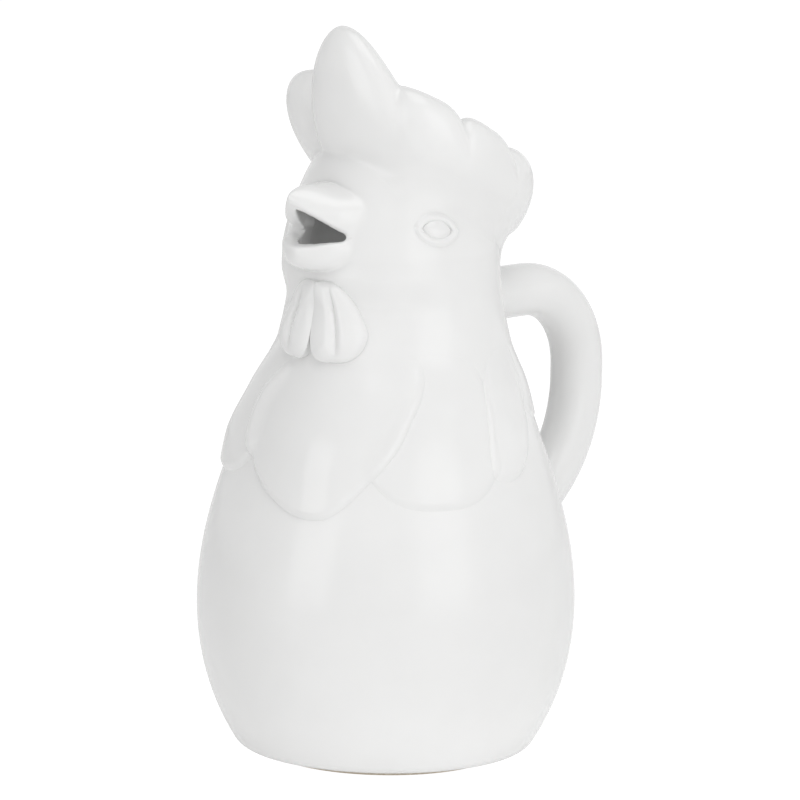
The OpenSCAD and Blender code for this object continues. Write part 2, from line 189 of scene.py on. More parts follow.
def fired_skin(name, tones, tone_span, tone_grain, polish, skin_grain, skin_share, skin_depth):
    """A fired surface that varies a little in tone, polish and thickness. A grain is the scale
    and the detail of its noise."""
    mat = bpy.data.materials.new(name)
    mat.use_nodes = True
    nodes, links = mat.node_tree.nodes, mat.node_tree.links
    shader = nodes["Principled BSDF"]
    shader.inputs["IOR"].default_value = 1.5
    place = nodes.new("ShaderNodeTexCoord")

    def noise(scale, detail):
        made = nodes.new("ShaderNodeTexNoise")
        made.inputs["Scale"].default_value = scale
        made.inputs["Detail"].default_value = detail
        links.new(place.outputs["Object"], made.inputs["Vector"])
        return made.outputs["Fac"]

    tone = noise(*tone_grain)
    colours = nodes.new("ShaderNodeValToRGB")
    for stop, position, colour in zip(colours.color_ramp.elements, tone_span, tones):
        stop.position = position
        stop.color = colour
    links.new(tone, colours.inputs["Fac"])
    links.new(colours.outputs["Color"], shader.inputs["Base Color"])
    rough = nodes.new("ShaderNodeMapRange")
    rough.inputs["To Min"].default_value = polish[0]
    rough.inputs["To Max"].default_value = polish[1]
    links.new(tone, rough.inputs["Value"])
    links.new(rough.outputs["Result"], shader.inputs["Roughness"])
    bump = nodes.new("ShaderNodeBump")
    bump.inputs["Strength"].default_value = skin_share
    bump.inputs["Distance"].default_value = skin_depth
    links.new(noise(*skin_grain), bump.inputs["Height"])
    links.new(bump.outputs["Normal"], shader.inputs["Normal"])
    return mat


def white_glaze():
    """Glossy white glaze."""
    return fired_skin("white_glaze", glaze_tones, tone_span=(0.3, 0.7), tone_grain=(22, 3),
                      polish=(0.11, 0.19), skin_grain=(24, 1), skin_share=0.8, skin_depth=1 * MM)


def round_edge(base_z, r, t, steps=12):
    """The round lower edge between the flat base and the wall, for a wall moved in by t."""
    lean = wall_lean(base_z + r / 2)
    z = base_z + r * (1 - math.sin(lean))
    mid_r, mid_z = inside_r(z, t) - r * math.cos(lean), z + r * math.sin(lean)
    turns = [mix(-math.pi / 2, -lean, i / steps) for i in range(steps + 1)]
    return z, [(mid_r + r * math.cos(a), mid_z + r * math.sin(a)) for a in turns]


def rises(low_z, high_z):
    """Heights in even steps, from the first step above the low one to the high one."""
    count = round((high_z - low_z) / rise_step)
    return [mix(low_z, high_z, i / count) for i in range(1, count + 1)]


glaze = white_glaze()
start_z, outer_edge = round_edge(foot_h, edge_r, 0)
floor_z, inner_edge = round_edge(foot_h + floor_t, 2 * edge_r, wall_t)
outside = [(wall_r(z), z) for z in rises(start_z, joint_z)]
inside = [(inside_r(z), z) for z in rises(floor_z, joint_z)]
profile = [(0, foot_h)] + outer_edge + outside + inside[::-1] + inner_edge[::-1]
profile += [(0, foot_h + floor_t)]
finished("body", "body_shell", spun(profile), glaze, wall_seam)

# The foot
# The ring that the pitcher stands on is turned from the same clay. It is wiped free of glaze
# before the firing, so the bare fired clay shows, matt and a little warmer than the glaze.

foot_r = 43 * MM
foot_w = 5.5 * MM
foot_round = 0.9 * MM
level_gap = 0.01 * MM
clay_tones = [(0.58, 0.50, 0.40, 1), (0.72, 0.65, 0.54, 1)]


def bare_clay():
    """Matt fired clay with a fine grain."""
    return fired_skin("bare_clay", clay_tones, tone_span=(0.35, 0.65), tone_grain=(900, 6),
                      polish=(0.7, 0.95), skin_grain=(900, 6), skin_share=0.5, skin_depth=0.2 * MM)


def on_a_corner(edge):
    """Whether an edge runs round the ring at one of the two corners that touch the table."""
    one, other = edge.verts
    level = abs(one.co.z) < level_gap and abs(other.co.z) < level_gap
    return level and abs(one.co.xy.length - other.co.xy.length) < level_gap


ring = [(foot_r - foot_w, foot_h), (foot_r - foot_w, 0), (foot_r, 0), (foot_r, foot_h)]
bm = spun(ring + ring[:1])
corners = [edge for edge in bm.edges if on_a_corner(edge)]
bmesh.ops.bevel(bm, geom=corners, offset=foot_round, offset_type="OFFSET", segments=5,
                profile=0.5, affect="EDGES", material=-1)
finished("foot", "foot_ring", bm, bare_clay())

# The neck and head
# A second thrown piece: the neck narrows upwards and closes in as the dome of the head. It is
# cut along the sloping line under the comb and opened behind the beak, where the drink runs out.

crown_z = 209.5 * MM
crown_slope = 0.5
head_z = 236 * MM
spout_half_w = 15.4 * MM
spout_z = [183.2 * MM, 208.6 * MM]
spout_steps = 64
plane_gap = 0.001 * MM


def modified(bm, kind, **settings):
    """The mesh after one modifier, as a new mesh in the making."""
    mesh = bpy.data.meshes.new("work")
    bm.to_mesh(mesh)
    bm.free()
    work = bpy.data.objects.new("work", mesh)
    bpy.context.scene.collection.objects.link(work)
    step = work.modifiers.new("step", kind)
    for key, value in settings.items():
        setattr(step, key, value)
    made = work.evaluated_get(bpy.context.evaluated_depsgraph_get())
    out = bmesh.new()
    out.from_mesh(made.to_mesh())
    bpy.data.objects.remove(work)
    return out


def cut_by(bm, cutters):
    """Takes each cutter, a closed mesh in the making, out of the solid."""
    for cutter in cutters:
        bmesh.ops.recalc_face_normals(cutter, faces=cutter.faces)
        mesh = bpy.data.meshes.new("cutter")
        cutter.to_mesh(mesh)
        cutter.free()
        tool = bpy.data.objects.new("cutter", mesh)
        bpy.context.scene.collection.objects.link(tool)
        bmesh.ops.recalc_face_normals(bm, faces=bm.faces)
        bm = modified(bm, "BOOLEAN", operation="DIFFERENCE", solver="EXACT", object=tool)
        bpy.data.objects.remove(tool)
    return bm


def sliced(bm, point, way):
    """Cuts along the plane through a point, takes away what lies that way and gives the edges
    of the cut."""
    cut = bmesh.ops.bisect_plane(bm, geom=bm.verts[:] + bm.edges[:] + bm.faces[:], dist=plane_gap,
                                 plane_co=point, plane_no=way, clear_outer=True)
    return [e for e in cut["geom_cut"] if isinstance(e, bmesh.types.BMEdge)]


def pulled(bm, way):
    """A flat face pulled out into a solid."""
    made = bmesh.ops.extrude_face_region(bm, geom=bm.faces[:])["geom"]
    verts = [v for v in made if isinstance(v, bmesh.types.BMVert)]
    bmesh.ops.translate(bm, verts=verts, vec=way)
    return bm


def spout_hole():
    """An oval rod that opens the head forwards, from a third of the neck's radius on."""
    bm = bmesh.new()
    rim = bmesh.ops.create_circle(bm, cap_ends=True, segments=spout_steps, radius=1)["verts"]
    bmesh.ops.rotate(bm, verts=rim, matrix=Matrix.Rotation(math.pi / 2, 3, "X"))
    bmesh.ops.scale(bm, verts=rim, vec=(spout_half_w, 1, (spout_z[1] - spout_z[0]) / 2))
    bmesh.ops.translate(bm, verts=rim, vec=(0, -neck_r / 3, (spout_z[1] + spout_z[0]) / 2))
    return pulled(bm, (0, -neck_r, 0))


heights = [joint_z] + rises(joint_z, head_z)
profile = [(wall_r(z), z) for z in heights] + [(inside_r(z), z) for z in heights[::-1]]
bm = spun(profile + profile[:1])
rim = sliced(bm, (0, 0, crown_z), Vector((0, crown_slope, 1)).normalized())
bmesh.ops.bridge_loops(bm, edges=rim)
finished("neck", "neck_shell", cut_by(bm, [spout_hole()]), glaze, wall_seam)

# The beak
# Both halves are modelled solid, luted to the head and hollowed into a pouring channel while
# the clay is soft. The upper half ends in a blunt hook, and the lips are rubbed round.

beak_t = 3.2 * MM
tip_wall_share = 1.3
corner_f = 36.3 * MM
corner_z = 193.8 * MM
upper_slope = 0.78
lower_slope = -0.25
mouth_far = 40 * MM
upper_tip_f = 53.2 * MM
upper_tip_z = 208.9 * MM
upper_swell_f = 43 * MM
upper_root_in = 6 * MM
ridge_z = 212.2 * MM
lower_tip_f = 50.2 * MM
lower_tip_z = 188.6 * MM
lower_swell_f = 36 * MM
lower_root_in = 5 * MM
lower_wider = 0.2 * MM
chin_z = 180.5 * MM
beak_half_w = 17.6 * MM
beak_start_f = 22 * MM
beak_full_f = 31 * MM
beak_square = 0.86
beak_gable = 0.45
channel_right = 0.58
beak_steps, beak_rounds = 56, 64
pad_turn = math.radians(56)
pad_z = [172 * MM, 221 * MM]
pad_t = 3 * MM
pad_in = 0.5 * MM
pad_steps = 40
trim_z = [165 * MM, 225 * MM]
trim_steps = 48
beak_voxel = 0.42 * MM
lip_passes = 12
cheek_under = 1 * MM
cheek_f = 37 * MM
cheek_slope = 0.5
cheek_bend = 20
cheek_turn = [math.radians(41), math.radians(18)]
cheek_out = [7.5 * MM, 3 * MM]
cheek_z = [ridge_z + 3 * MM, ridge_z - 1 * MM]
cheek_x = [8 * MM, 15 * MM]
cheek_passes = 130
chin_out = [9 * MM, 5 * MM]
chin_soft = 0.5


def laid(across, along, place):
    """A sheet whose points are laid by place(i, j), sewn where it meets itself."""
    bm = bmesh.new()
    bmesh.ops.create_grid(bm, x_segments=across, y_segments=along, size=1)
    for v in bm.verts:
        v.co = place(round((v.co.x + 1) / 2 * across), round((v.co.y + 1) / 2 * along))
    bmesh.ops.remove_doubles(bm, verts=bm.verts, dist=weld_gap)
    return bm


def closed(bm):
    """Closes open ends with flat faces."""
    edges = [e for e in bm.edges if len(e.link_faces) == 1]
    bmesh.ops.holes_fill(bm, edges=edges, sides=0)
    bmesh.ops.recalc_face_normals(bm, faces=bm.faces)
    return bm


def joined(parts):
    """Meshes in the making put together as one."""
    out = parts[0]
    for part in parts[1:]:
        mesh = bpy.data.meshes.new("part")
        part.to_mesh(mesh)
        part.free()
        out.from_mesh(mesh)
    return out


def smoothed(bm, verts, passes):
    """Evens out some of the points, as a wet finger does."""
    for _ in range(passes):
        bmesh.ops.smooth_vert(bm, verts=verts, factor=0.5, use_axis_x=True, use_axis_y=True,
                              use_axis_z=True)
    return bm


def rubbed(bm, voxel, passes=0):
    """Clay rubbed into one smooth form."""
    bm = modified(bm, "REMESH", mode="VOXEL", voxel_size=voxel)
    return smoothed(bm, bm.verts, passes)


def signed_power(x, n):
    """A power that keeps the sign, so that it squares or sharpens both halves of a curve."""
    return math.copysign(abs(x) ** n, x)


def beak_form(tip_f, size, right=1, gable=0):
    """A closed form stretched from inside the head to a rounded tip. Size gives the half width,
    the low and the high edge at a distance in front of the axis, right the share of the half
    width on the bird's right, gable how far the sides lean in towards the ridge."""
    def place(i, j):
        f = mix(beak_start_f, tip_f, math.sin(math.pi / 2 * j / beak_steps))
        w, low, high = size(f)
        turn = math.tau * i / beak_rounds
        side, up = math.cos(turn), math.sin(turn)
        w *= (right if side < 0 else 1) * (1 - gable * max(0, up) ** 2)
        return Vector((w * signed_power(side, beak_square), -f,
                       (low + high) / 2 + (high - low) / 2 * signed_power(up, beak_square)))
    return closed(laid(beak_rounds, beak_steps, place))


def cheek(f, t):
    """How much wider the beak's outside gets where its sides run out into the cheeks."""
    back = max(0, cheek_f - f)
    return 0 if t else cheek_slope * back + cheek_bend * back * back


def arch(f, start_f, tip_f, bend, bulge):
    """How full a form is: 1 up to the start of its arch and 0 at its tip."""
    share = min(1, max(0, (f - start_f) / (tip_f - start_f)))
    return max(0, 1 - share ** bend) ** bulge


def upper_size(f, t=0):
    """Size of the upper half, or of its channel when t is the wall's thickness."""
    tip_f = upper_tip_f - t * tip_wall_share
    w = (beak_half_w - t) * arch(f, beak_full_f, tip_f, bend=1.6, bulge=0.95) + cheek(f, t)
    swell = arch(f, upper_swell_f, tip_f, bend=1.8, bulge=0.75)
    low = mix(upper_tip_z, corner_z - upper_root_in + t, swell)
    return w, low, mix(upper_tip_z, ridge_z - t, swell)


def lower_size(f, t=0):
    """Size of the lower half, or of its channel when t is the wall's thickness."""
    tip_f = lower_tip_f - t * tip_wall_share
    plain_w = beak_half_w + lower_wider - t
    w = plain_w * arch(f, beak_full_f, tip_f, bend=2, bulge=0.68) + cheek(f, t)
    swell = arch(f, lower_swell_f, tip_f, bend=2.4, bulge=1 / 2.4)
    low = mix(lower_tip_z, chin_z + t, swell)
    return w, low, mix(lower_tip_z, corner_z + lower_root_in, swell)


def mouth_wedge():
    """The open mouth, seen from the side, from its corners out past the tips."""
    bm = bmesh.new()
    side = [(corner_f, corner_z), (corner_f + mouth_far, corner_z + upper_slope * mouth_far),
            (corner_f + mouth_far, corner_z + lower_slope * mouth_far)]
    bm.faces.new([bm.verts.new((-mouth_far, -f, z)) for f, z in side])
    return pulled(bm, (2 * mouth_far, 0, 0))


def cheek_pad():
    """A pad of clay that lies in the wall under the beak, so that the two can be rubbed smooth."""
    def place(i, j):
        deep = i in (0, pad_steps) or j in (0, pad_steps)
        across = min(max(i - 1, 0), pad_steps - 2) / (pad_steps - 2)
        along = min(max(j - 1, 0), pad_steps - 2) / (pad_steps - 2)
        z = mix(*pad_z, along)
        return round_point(mix(-pad_turn, pad_turn, across), z, wall_r(z) - (pad_t if deep else 0))
    return closed(laid(pad_steps, pad_steps, place))


def head_space():
    """The space inside the head, a little narrower, which trims the beak's back end."""
    heights = [mix(*trim_z, i / trim_steps) for i in range(trim_steps + 1)]
    wall = [(inside_r(z) - pad_in, z) for z in heights]
    return spun([(0, trim_z[0])] + wall + [(0, trim_z[1])])


def rub_cheeks(bm):
    """Thins the beak's sides out round the head and rubs them into the cheeks and the chin."""
    soft = {}
    for v in bm.verts:
        out, turn = above_wall(v.co), abs(math.atan2(v.co.x, -v.co.y))
        if v.co.y > 0 or out < -cheek_under:
            continue
        if out > 0:
            v.co = at_radius(v.co, v.co.xy.length - out * (1 - eased(turn, *cheek_turn)))
        near = eased(out, *cheek_out) * eased(v.co.z, *cheek_z) * eased(abs(v.co.x), *cheek_x)
        under = eased(v.co.z, lower_tip_z, chin_z) * eased(out, *chin_out)
        soft[v] = max(near, chin_soft * under)
    for done in range(cheek_passes):
        limit = (done + 1) / (cheek_passes + 1)
        smoothed(bm, [v for v, share in soft.items() if share > limit], 1)


def sink_toe(bm, depth=0.12 * MM, reach=2 * MM):
    """Lets the smooth toe of a piece run out just under the wall."""
    for v in bm.verts:
        out = above_wall(v.co)
        if out < reach:
            v.co = at_radius(v.co, v.co.xy.length - depth * eased(out, reach, 0))


def beak_seam(co, own, reach=2.6 * MM):
    """Lets the beak's glaze run on from the wall's without a line."""
    out = above_wall(co)
    return wall_normal(co).lerp(own, eased(out, 0, reach)).normalized() if out < reach else None


upper = beak_form(upper_tip_f, upper_size, gable=beak_gable)
lower = beak_form(lower_tip_f, lower_size)
solid = rubbed(joined([upper, lower, cheek_pad()]), beak_voxel)
tip_wall = beak_t * tip_wall_share
upper_channel = beak_form(upper_tip_f - tip_wall, lambda f: upper_size(f, beak_t), channel_right)
lower_channel = beak_form(lower_tip_f - tip_wall, lambda f: lower_size(f, beak_t), channel_right)
bm = cut_by(solid, [mouth_wedge(), upper_channel, lower_channel, head_space()])
bm = rubbed(bm, beak_voxel, lip_passes)
rub_cheeks(bm)
sink_toe(bm)
beak_mesh = bpy.data.meshes.new("beak_whole")
bm.to_mesh(beak_mesh)
bm.free()
for name, node, way in (("beak_top", "beak_upper", -1), ("beak_bottom", "beak_lower", 1)):
    bm = bmesh.new()
    bm.from_mesh(beak_mesh)
    sliced(bm, (0, 0, corner_z), (0, 0, way))
    finished(name, node, closed(bm), glaze, beak_seam)
bpy.data.meshes.remove(beak_mesh)

# The comb
# Eight lobes stand as a ring round the filling mouth, each modelled by hand and luted to the
# next. The front one is the tallest. The outer feet of the lobes are smoothed into the head.

lobe_nodes = ["comb_front", "comb_left_1", "comb_left_2", "comb_left_3",
              "comb_rear", "comb_right_3", "comb_right_2", "comb_right_1"]
comb_back = 7 * MM
tops_z = 237.5 * MM
tops_slope = 0.54
front_rise = 16 * MM
rear_drop = 9 * MM
crease_in = 4 * MM
mouth_r = 27.5 * MM
comb_r = 46.5 * MM
crease_turns = [-25, 39, 75, 109, 156, 204, 250, 287]
crease_top_shares = [0.2, 0.2, 1, 1, 1, 1, 1, 1]
crease_mouth_shares = [0.1, 0.1, 0.3, 0.3, 0.3, 0.3, 0.3, 0.3]
crease_side_shares = [2.1, 0.6, 0.5, 0.5, 0.5, 0.5, 0.5, 0.5]
crease_foot_shares = [1, 0.3, 0.1, 0.1, 0.1, 0.1, 0.1, 0.1]
lobe_mid_shares = [0.39, 0.5, 0.5, 0.5, 0.5, 0.5, 0.5, 0.5]
lobe_mouth_shares = [0.9, 1, 1, 1.02, 1.04, 1.02, 1, 1]
lobe_side_shares = [0.91, 1, 1, 1.06, 1.1, 1.06, 1, 1.02]
lobe_base_shares = [0.75, 0.8, 0.8, 0.8, 0.8, 0.8, 0.8, 0.7]
lobe_rises = [front_rise, 0, 0, 0, -rear_drop, 0, 0, 0]
lobe_count = len(lobe_nodes)
lobe_steps = 44
flank_steps, fillet_steps, throat_steps, crown_steps = 26, 10, 10, 22
foot_fillet = [12 * MM, 2.6 * MM]
crisp_turn = math.radians(25)
crisp_span = [0.3, 0.75]
foot_drop = 1.5 * MM
foot_in = 1.4 * MM
front_rim_share = 0.8
throat_drop = 9 * MM
throat_lift = 4 * MM
toe_out = 1.6 * MM
toe_up = 0.5 * MM
inner_turn = math.radians(200)
inner_pull = 5 * MM
arc_step = 0.01
tangent_step = 0.05
wall_step = 0.05 * MM
pinned = 0.05 * MM
comb_passes = 4
crease_fade_from = -0.1


def crease_turn(k):
    """Where the crease before a lobe is, in degrees round the comb's middle."""
    return crease_turns[k] if k < lobe_count else crease_turns[0] + 360


def curve(a, b, c, d, t):
    """A point on the curve from a to d that is drawn towards b and c."""
    u = 1 - t
    return a * u ** 3 + b * 3 * u * u * t + c * 3 * u * t * t + d * t ** 3


def fillet(start, corner, end, steps):
    """Points of a hollow from a start to an end, drawn towards the corner between them."""
    return [start * (1 - q) ** 2 + corner * 2 * q * (1 - q) + end * q * q
            for q in (j / steps for j in range(steps + 1))]


def walked(curve_at, t, last, step, far):
    """Where on a curve a walk ends that starts at t, beside the last point, and goes so far."""
    run = 0
    while run < far:
        t += step
        run += (curve_at(t) - last).length
        last = curve_at(t)
    return t


def lobe_arc(i):
    """The lobe over the comb's ring at a step round it: the turn, how far in front of the axis
    the ring's middle is, and the lobe's outline, in (radius, height) from the comb's own
    middle. The outline starts on the outside, and its top is at a quarter turn."""
    k, local = divmod(i, lobe_steps)
    share = 2 * local / lobe_steps - 1
    side, beside = (k, k - 1) if share < 0 else (k + 1, k + 1)
    n, beside = side % lobe_count, beside % lobe_count
    s = abs(share)
    middle = mix(crease_turn(k), crease_turn(k + 1), lobe_mid_shares[k])
    a = math.radians(mix(middle, crease_turn(side), s))

    def blended(values):
        return mix(values[k], (values[k] + values[beside]) / 2, s * s)
    base_r = neck_r * blended(lobe_base_shares)
    plain_in = mouth_r * blended(lobe_mouth_shares)
    plain_out = comb_r * blended(lobe_side_shares)
    in_r = plain_in + crease_in * crease_mouth_shares[n] * s ** 3
    mid_f = (plain_in + plain_out) / 2 * math.cos(a) - comb_back
    rise = mix(min(lobe_rises[k], lobe_rises[beside]), lobe_rises[k], math.cos(math.pi / 2 * s))
    high_z = tops_z + tops_slope * mid_f + rise - crease_in * crease_top_shares[n] * s ** 4
    low_z = crown_z + crown_slope * mid_f - crease_in

    def at(t):
        up = math.sin(t)
        fade = mix(crease_foot_shares[n], 1, eased(up, crease_fade_from, 1))
        out = plain_out - crease_in * crease_side_shares[n] * s ** 3 * fade
        mid_r, half = (in_r + out) / 2, (out - in_r) / 2
        return Vector((mid_r + half * math.cos(t) + (base_r - mid_r) * (1 - up) / 2,
                       (low_z + high_z) / 2 + (high_z - low_z) / 2 * up))
    return a, mid_f, at


def from_comb(a, r, z):
    """A radius from the pitcher's axis, as one from the comb's middle."""
    across = comb_back * math.sin(a)
    return Vector((comb_back * math.cos(a) + math.sqrt(max(0, r * r - across ** 2)), z))


def comb_section(i):
    """The closed outline of the comb across its ring, at a step round it: down the outside and
    its hollow foot, through the wall, up the throat and back over the top."""
    a, mid_f, at = lobe_arc(i)

    def head(z):
        return from_comb(a, wall_r(z), z)
    t = 0
    while at(t).x > head(at(t).y).x and t > -math.pi / 2:
        t -= arc_step
    meet = at(t)
    hollow = mix(*foot_fillet, eased(math.cos(a + crisp_turn), *crisp_span))
    top_t = walked(at, t, meet, arc_step, hollow)
    toe_z = walked(head, meet.y, meet, -wall_step, hollow)
    points = [at(mix(math.pi / 2, top_t, j / flank_steps)) for j in range(flank_steps)]
    points += fillet(at(top_t), meet, head(toe_z), fillet_steps)
    points.append(head(toe_z - foot_drop) - Vector((foot_in, 0)))
    inner_z = crown_z + crown_slope * mid_f * (1 if mid_f < 0 else front_rim_share) - throat_drop
    start = from_comb(a, inside_r(inner_z), inner_z)
    over = from_comb(a, inside_r(inner_z + throat_lift), inner_z + throat_lift)
    points.append(start + Vector((toe_out, toe_up)))
    end = at(inner_turn)
    pull = (end - at(inner_turn - tangent_step)).normalized() * inner_pull
    points += [curve(start, over, end + pull, end, j / throat_steps) for j in range(throat_steps)]
    points += [at(mix(inner_turn, math.pi / 2, j / crown_steps)) for j in range(crown_steps)]
    return a, points


def comb_place(i, j):
    a, points = sections[i % len(sections)]
    p = points[j % len(points)]
    return Vector((p.x * math.sin(a), comb_back - p.x * math.cos(a), p.y))


def spot(co):
    """A point's place, rounded to the micrometre."""
    return tuple(round(c / (MM * MM)) for c in co)


def ring_seam(co, own):
    """The whole ring's normal, so that the lobes run on into one another."""
    return wall_seam(co, own, pinned) or ring_normals.get(spot(co))


def lobe_of(co):
    """The number of the lobe that a point of the comb belongs to."""
    turn = math.degrees(math.atan2(co.x, comb_back - co.y))
    if turn < crease_turns[0]:
        turn += 360
    return max(k for k in range(lobe_count) if crease_turns[k] <= turn)


sections = [comb_section(i) for i in range(lobe_count * lobe_steps)]
bm = laid(len(sections), len(sections[0][1]), comb_place)
smoothed(bm, [v for v in bm.verts if above_wall(v.co) > pinned], comb_passes)
bmesh.ops.recalc_face_normals(bm, faces=bm.faces)
bm.normal_update()
ring_normals = {spot(v.co): v.normal.copy() for v in bm.verts}
ring_mesh = bpy.data.meshes.new("comb_whole")
bm.to_mesh(ring_mesh)
bm.free()
for k, node in enumerate(lobe_nodes):
    bm = bmesh.new()
    bm.from_mesh(ring_mesh)
    others = [f for f in bm.faces if lobe_of(f.calc_center_median()) != k]
    bmesh.ops.delete(bm, geom=others, context="FACES")
    finished(node.replace("comb", "lobe"), node, closed(bm), glaze, ring_seam)
bpy.data.meshes.remove(ring_mesh)

# The wattles
# Two pads of clay hang side by side under the beak and are luted to the throat. Each is pressed
# with a tool into two broad ribs that fan out from its top.

wattle_turn = 14.9
wattle_half = 14.8
pair_turn = 3.2
wattle_low_z = 149 * MM
wattle_top_z = 177.6 * MM
wattle_mid_share = 0.38
wattle_mid_z = mix(wattle_low_z, wattle_top_z, wattle_mid_share)
wattle_t = 6 * MM
wattle_toe = 0.25 * MM
top_inward = 0.5
top_narrow = 0.15
inner_square = 0.45
fan_narrow = 0.225
fan_round = 0.06
rib_press = 0.3
rib_span = [-0.6, -0.25]
inner_soft = 0.3
wattle_bend = 2.4
outer_turn = 10
outer_share = 0.95
outer_bend = 1.5
back_in = 1.2 * MM
pad_crease = math.radians(60)
disc_gap = 1e-5


def relief(place, rounds=128, rings=72):
    """A pad on the wall. Place gives a point of its face or back from a point of a round disc."""
    bm = bmesh.new()
    bmesh.ops.create_uvsphere(bm, u_segments=rounds, v_segments=rings, radius=1)
    for v in bm.verts:
        face = v.co.z > -disc_gap
        v.co = place(math.atan2(v.co.x, v.co.y), min(1, v.co.xy.length), face)
    return bm


def wattle_place(turn, q, face, way):
    """A point of a wattle, where q is 0 at its middle and 1 at its rim. Places round the
    pitcher are in degrees here, counted from the line between the two wattles."""
    up, side = math.cos(turn), math.sin(turn)
    raised = max(up, 0)
    inner = max(-side, 0)
    side = max(side, 0) - inner ** inner_square
    middle = wattle_turn * (1 - top_inward * raised)
    rim_a = max(0, middle + wattle_half * side * (1 - top_narrow * raised))
    half_h = wattle_top_z - wattle_mid_z if up > 0 else wattle_mid_z - wattle_low_z
    a = mix(wattle_turn, rim_a, q)
    z = wattle_mid_z + half_h * up * q
    there = math.radians(pair_turn + way * a)
    if not face:
        return round_point(there, z, wall_r(z) - back_in)
    lift = (z - wattle_mid_z) / (wattle_top_z - wattle_mid_z)
    narrow = 1 - fan_narrow * (lift + math.sqrt(lift * lift + fan_round))
    fan = (a - wattle_turn * narrow) / (wattle_half * narrow)
    rib = math.sin(math.pi * min(0.5, abs(fan)))
    press = 1 - rib_press * (1 - rib) ** 2 * (1 - q ** 4) * eased(lift, *rib_span)
    outer = max(a - outer_turn, 0) / (2 * wattle_turn - outer_turn)
    soft = q * (1 - inner_soft * inner)
    round_share = math.sqrt(max(0, 1 - soft ** wattle_bend))
    out = wattle_t * round_share * mix(1, outer_share, outer ** outer_bend) * press
    return round_point(there, z, wall_r(z) + out - wattle_toe)


for name, way in (("wattle_left", 1), ("wattle_right", -1)):
    bm = relief(lambda turn, q, face: wattle_place(turn, q, face, way))
    finished(name, name, bm, glaze, crease=pad_crease)

# The eyes
# Each eye is a flat drop of clay pressed on the side of the head, and its lids are a thin coil
# laid round it. The glaze softens both.

eye_turn = math.radians(70)
eye_tilt = math.radians(-8)
eye_z = 197 * MM
eye_w = 11 * MM
eye_t = 1.7 * MM
eye_toe = 0.2 * MM
eye_high_share = 0.35
corner_point = 1.4
lid_w = 18 * MM
lid_t = 1.3 * MM
lid_toe = 2.8 * MM
lid_in = 1.7 * MM
lid_sunk = 0.12 * MM
lid_back_share = 0.9
lid_steps, lid_rounds = 9, 96
toe_h = 0.24 * MM


def toe_seam(co, own):
    """The wall's own normal where a thin piece runs out on the wall."""
    return wall_seam(co, own, toe_h)


def by_eye(x, y, out, way):
    """A point beside the eye's middle: x back along the head, y up, out from the wall."""
    c, s = math.cos(eye_tilt), math.sin(eye_tilt)
    x, y = x * c - y * s, x * s + y * c
    z = eye_z + y * math.cos(wall_lean(eye_z))
    return round_point(way * (eye_turn + x / wall_r(eye_z)), z, wall_r(z) + out)


def almond(turn, w, h):
    """The outline of an eye, pointed a little at its two corners."""
    return w * math.cos(turn), h * signed_power(math.sin(turn), corner_point)


def eye_place(turn, q, face, way):
    """A point of the eyeball's face or back, where q is 0 at its middle and 1 at its rim."""
    x, y = almond(math.pi / 2 - turn, eye_w / 2 * q, eye_w * eye_high_share * q)
    out = eye_t * math.sqrt(max(0, 1 - q * q)) if face else -back_in
    return by_eye(x, y, out - eye_toe, way)


def lid_place(i, j, way):
    """A point of the lids' coil: its smooth outer toe, its round inner side, then its back."""
    if j <= lid_steps:
        out_to = mix(lid_toe, 0, j / lid_steps)
        out = lid_t * math.cos(math.pi / 2 * out_to / lid_toe) ** 2
    elif j <= 2 * lid_steps:
        out_to = -lid_in * math.sin(math.pi / 2 * (j - lid_steps) / lid_steps)
        out = lid_t * math.sqrt(max(0, 1 - (out_to / lid_in) ** 2))
    else:
        out_to = mix(-lid_in, lid_toe, (j - 2 * lid_steps) / (lid_steps - 1) * lid_back_share)
        out = -back_in
    reach = out_to - lid_in
    turn = math.tau * i / lid_rounds
    x, y = almond(turn, lid_w / 2 + reach, lid_w * eye_high_share + reach)
    return by_eye(x, y, out - lid_sunk, way)


for side, way in (("left", 1), ("right", -1)):
    eye = relief(lambda turn, q, face: eye_place(turn, q, face, way), rounds=64, rings=40)
    finished("eyeball_" + side, "eye_" + side, eye, glaze)
    lid = laid(lid_rounds, 3 * lid_steps,
               lambda i, j: lid_place(i % lid_rounds, j % (3 * lid_steps), way))
    finished("eyelid_" + side, "eyelid_" + side, lid, glaze, toe_seam)

# The cape
# Eight thin slabs of clay lie on the shoulder as overlapping feathers. Each is fullest low
# down, has a rounded rim and is smoothed out into the neck at its top.

feather_names = ["front_left", "front_right", "side_left", "side_right",
                 "flank_left", "flank_right", "rear_left", "rear_right"]
feather_turns = [14.5, -38, 62, -79, 101, -114, 140, -152]
feather_halves = [36, 30, 29, 29, 14.5, 17, 30, 30]
feather_leans = [6, 0, 0, 0, 10, -8, 0, 0]
feather_bows = [10, 0, 0, 0, 0, 0, 0, 0]
feather_flares = [0.5, 0.1, 0.1, 0.1, 0.1, 0.1, 0.1, 0.1]
feather_bends = [2.3, 2.6, 2.6, 2.6, 2.6, 2.6, 2.6, 2.6]
feather_low_shares = [0.635, 0.7, 0.665, 0.7, 0.715, 0.73, 0.83, 0.83]
feather_full_shares = [1, 1.1, 0.7, 0.7, 0.8, 0.8, 0.45, 0.45]
laid_over = [[], [0], [0, 4], [1, 5], [], [], [4], [5, 6]]
feather_top_share = 1.04
feather_t = 4.2 * MM
feather_back_in = 1.3 * MM
feather_toe = 0.15 * MM
full_half = 36
rim_t = 1.5 * MM
rim_far = 28 * MM
rim_round = 3.2 * MM
rim_bend = 0.8
tuck_w = 9 * MM
fade_top_z = 156 * MM
fade_depth = 20 * MM
rim_places = 360


